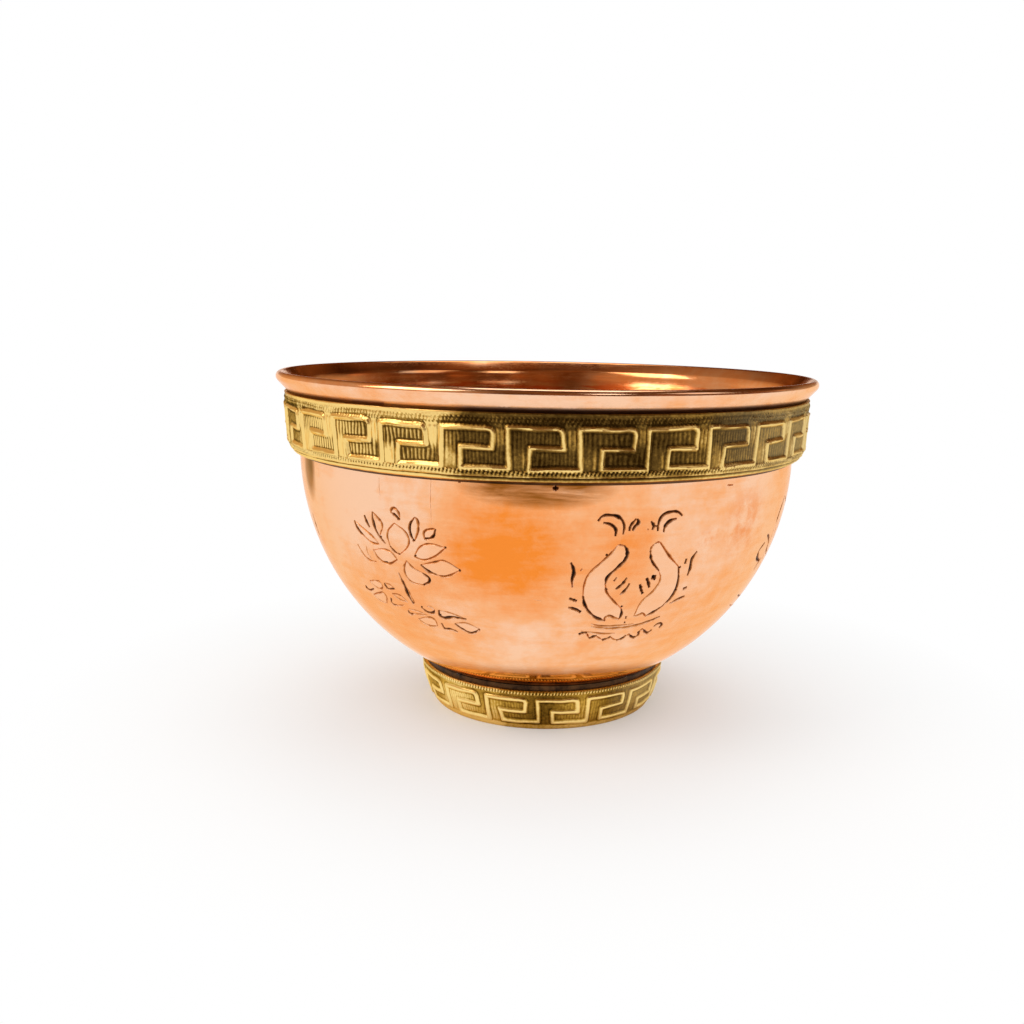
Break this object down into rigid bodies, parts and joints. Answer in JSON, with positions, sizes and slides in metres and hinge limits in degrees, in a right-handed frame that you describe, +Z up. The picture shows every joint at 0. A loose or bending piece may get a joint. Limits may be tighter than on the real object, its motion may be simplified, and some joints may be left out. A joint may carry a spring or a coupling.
{
  "type": "offering bowl",
  "caption": "Footed copper offering bowl with a flared lip, an embossed brass key-fret band soldered round the rim and a matching brass ring as its foot.",
  "frame": {"origin": "middle of the resting face under the foot ring", "axes": "+Z up along the bowl's axis, -Y towards the front of the bowl, +X to its right"},
  "size_m": [0.076, 0.076, 0.0478],
  "materials": {
    "copper": "polished copper with warm tarnish clouds and engraved symbols",
    "embossed_brass": "embossed brass, rubbed bright on the ridges and dark in the ground",
    "solder": "dull tarnished solder"
  },
  "bodies": {
    "root": {"bowl_shell": "copper", "rim_band": "embossed_brass", "rim_band_seam": "solder", "rim_band_solder": "solder", "foot_ring": "embossed_brass", "foot_ring_seam": "solder", "foot_ring_solder": "solder"}
  },
  "joints": []
}
